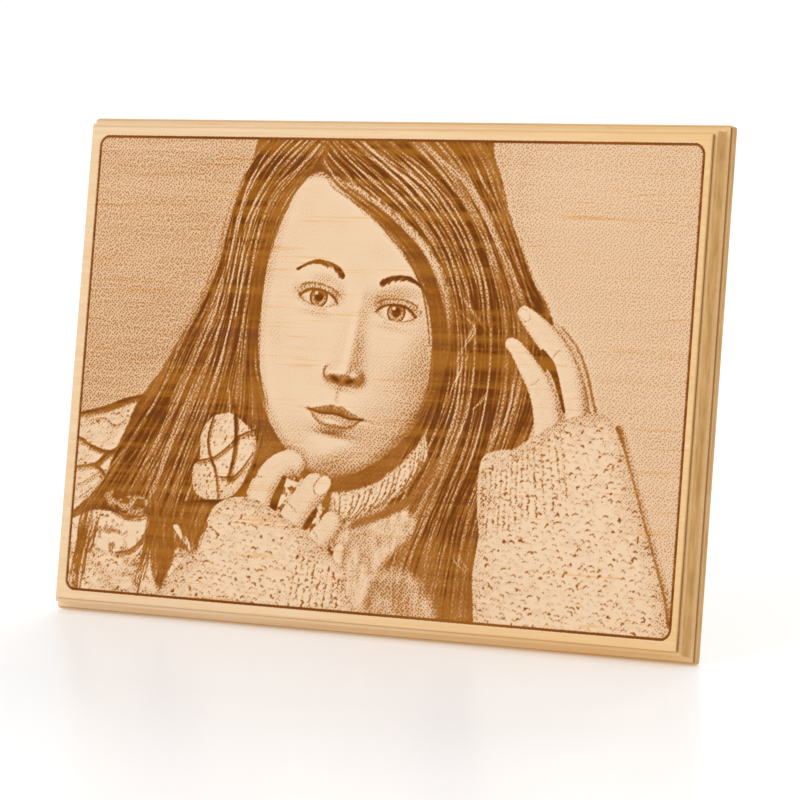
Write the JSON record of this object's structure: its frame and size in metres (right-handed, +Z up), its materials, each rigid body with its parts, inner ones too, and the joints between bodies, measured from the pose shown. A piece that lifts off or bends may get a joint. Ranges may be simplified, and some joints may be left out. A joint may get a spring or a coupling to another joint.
{
  "type": "wooden plaque",
  "caption": "Rectangular wooden plaque with a moulded edge and an engraved border line, leaning on a hinged easel strut, with a keyhole hanger in its back.",
  "frame": {"origin": "middle of the footprint of the board's bottom edge and the strut's foot, on the surface it stands on", "axes": "+X to the right along the board, -Y the way the engraved front faces, +Z up; the board leans back 9.4 degrees from +Z towards +Y"},
  "size_m": [0.212, 0.0464, 0.1503],
  "materials": {
    "board": "satin",
    "strut": "satin",
    "hinge": "satin",
    "hinge_screw": "satin",
    "hanger": "satin",
    "hanger_screw": "satin"
  },
  "bodies": {
    "plaque": {"board": "board", "hanger_plate": "hanger", "hanger_screw_left": "hanger_screw", "hanger_screw_right": "hanger_screw", "hinge_board_leaf": "hinge", "board_leaf_screw_left": "hinge_screw", "board_leaf_screw_right": "hinge_screw", "hinge_pin": "hinge"},
    "strut": {"strut": "strut", "hinge_strut_leaf": "hinge", "strut_leaf_screw_left": "hinge_screw", "strut_leaf_screw_right": "hinge_screw"}
  },
  "joints": [
    {"name": "strut_hinge", "type": "hinge", "parent": "plaque", "child": "strut", "pos_m": [0, 0.00608, 0.11007], "axis": [-1, 0, 0], "range_deg": [0, 15]}
  ]
}
